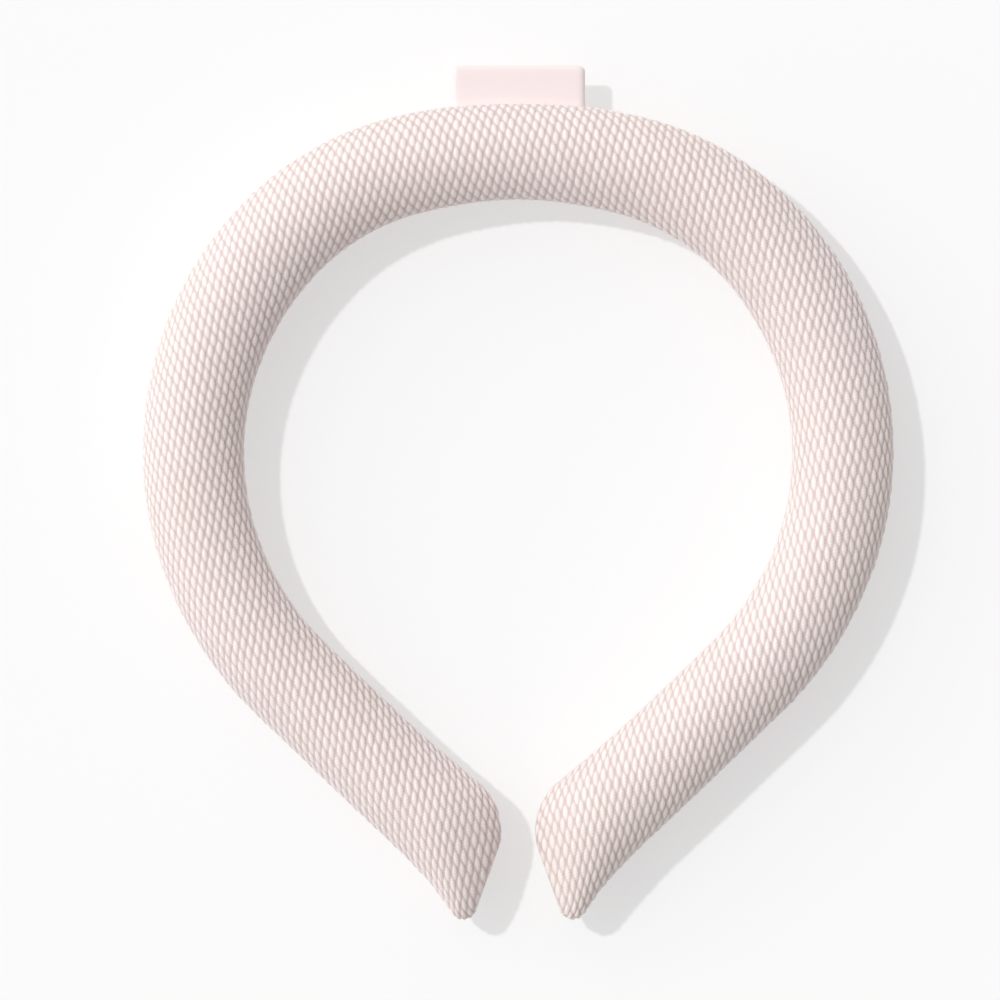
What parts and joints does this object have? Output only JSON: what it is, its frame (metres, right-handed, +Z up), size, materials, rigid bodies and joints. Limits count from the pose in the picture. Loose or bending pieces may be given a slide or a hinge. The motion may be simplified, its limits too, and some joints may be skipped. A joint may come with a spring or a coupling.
{
  "type": "cooling neck ring",
  "caption": "Soft gel-filled tube bent into an open teardrop ring for the neck, covered in a fine lozenge mesh, with slanted free ends and a flat tab at the back.",
  "frame": {"origin": "on the surface the ring lies on, below the middle of the outline of the whole object", "axes": "+Y towards the back of the neck and the tab, the two free ends are at -Y; +Z up from the surface; +X towards the right arm as seen in the picture"},
  "size_m": [0.1656, 0.188, 0.022],
  "materials": {
    "mesh_cover": "pale pink, fine raised lozenge mesh, soft matt with a faint sheen",
    "tab_film": "smooth pale pink welded film, satin"
  },
  "bodies": {
    "root": {"ring_tube": "mesh_cover", "back_tab": "tab_film"}
  },
  "joints": []
}
